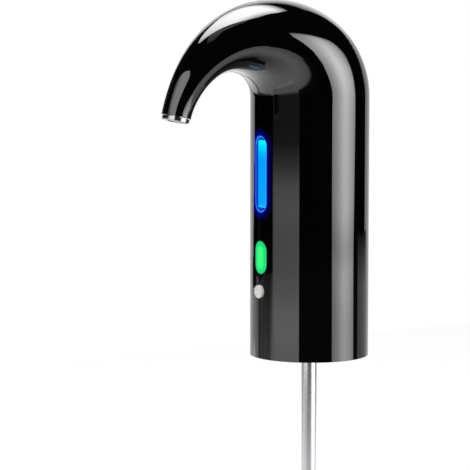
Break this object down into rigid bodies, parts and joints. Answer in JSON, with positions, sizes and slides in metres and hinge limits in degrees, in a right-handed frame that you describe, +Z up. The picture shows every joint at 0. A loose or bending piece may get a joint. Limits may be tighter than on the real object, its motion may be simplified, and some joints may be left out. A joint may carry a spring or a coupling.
{
  "type": "electric wine aerator",
  "caption": "Gooseneck electric aerator and pourer that seats on a bottle neck, with a lit window, press buttons and a telescopic suction tube.",
  "frame": {"origin": "on the body's axis at its lower rim, where the bottle neck enters", "axes": "+Z up along the body, -Y towards the spout, window and buttons, +X to the right half shell"},
  "size_m": [0.06, 0.1156, 0.2602],
  "materials": {
    "shell_black": "piano black gloss",
    "polished_ring": "polished",
    "grey_moulding": "fine matt",
    "black_moulding": "fine matt",
    "silicone": "translucent matt",
    "black_rubber": "matt",
    "window_clear": "clear, lit blue from behind",
    "guide_blue": "lit blue",
    "led_blue": "lit blue",
    "button_green": "lit green",
    "button_white": "satin white",
    "board": "solder mask",
    "steel": "drawn tube",
    "fastener_steel": "plain",
    "cell": "blue film sleeve",
    "motor_can": "plated can",
    "brass": "plain"
  },
  "bodies": {
    "aerator_body": {"left_shell": "shell_black", "right_shell": "shell_black", "spout_ring": "polished_ring", "outlet_nozzle": "grey_moulding", "wine_hose": "silicone", "window_lens": "window_clear", "light_guide": "guide_blue", "main_board": "board", "pour_switch": "black_moulding", "power_switch": "black_moulding", "window_led_upper": "led_blue", "window_led_middle": "led_blue", "window_led_lower": "led_blue", "button_led_upper": "button_green", "button_led_lower": "button_green", "charging_socket": "fastener_steel", "charging_board": "board", "battery_cell": "cell", "pump_head": "black_moulding", "pump_diaphragm": "black_rubber", "pump_motor": "motor_can", "air_hose": "silicone", "tube_connector": "grey_moulding", "connector_seal": "black_rubber", "bottle_stopper": "silicone", "base_cup": "black_moulding", "upper_suction_tube": "steel", "inner_frame": "grey_moulding", "base_screw_1": "fastener_steel", "base_screw_2": "fastener_steel", "base_screw_3": "fastener_steel", "board_screw_1": "fastener_steel", "board_screw_2": "fastener_steel", "board_screw_3": "fastener_steel", "board_screw_4": "fastener_steel"},
    "pour_button": {"pour_button": "button_green"},
    "power_button": {"power_button": "button_white"},
    "pour_plunger": {"pour_plunger": "button_white"},
    "power_plunger": {"power_plunger": "button_white"},
    "pump_crank": {"pump_crank": "brass"},
    "middle_tube": {"middle_suction_tube": "steel"},
    "lower_tube": {"lower_suction_tube": "steel"}
  },
  "joints": [
    {"name": "pour_button_press", "type": "slide", "parent": "aerator_body", "child": "pour_button", "axis": [0, 1, 0], "range_m": [0, 0.0005], "stiffness_N_per_m": 1500, "springref_m": -0.0005},
    {"name": "power_button_press", "type": "slide", "parent": "aerator_body", "child": "power_button", "axis": [0, 1, 0], "range_m": [0, 0.0005], "stiffness_N_per_m": 1500, "springref_m": -0.0005},
    {"name": "pour_plunger_slide", "type": "slide", "parent": "aerator_body", "child": "pour_plunger", "axis": [0, 1, 0], "range_m": [0, 0.0005]},
    {"name": "power_plunger_slide", "type": "slide", "parent": "aerator_body", "child": "power_plunger", "axis": [0, 1, 0], "range_m": [0, 0.0005]},
    {"name": "motor_spin", "type": "hinge", "parent": "aerator_body", "child": "pump_crank", "pos_m": [0.01299, 0.0075, 0.05], "axis": [0, 0, 1], "continuous": true},
    {"name": "middle_tube_slide", "type": "slide", "parent": "aerator_body", "child": "middle_tube", "axis": [0, 0, -1], "range_m": [0, 0.084]},
    {"name": "lower_tube_slide", "type": "slide", "parent": "middle_tube", "child": "lower_tube", "axis": [0, 0, -1], "range_m": [0, 0.084]}
  ],
  "couplings": [
    {"joint": "pour_plunger_slide", "follows": "pour_button_press", "ratio": 1},
    {"joint": "power_plunger_slide", "follows": "power_button_press", "ratio": 1}
  ]
}
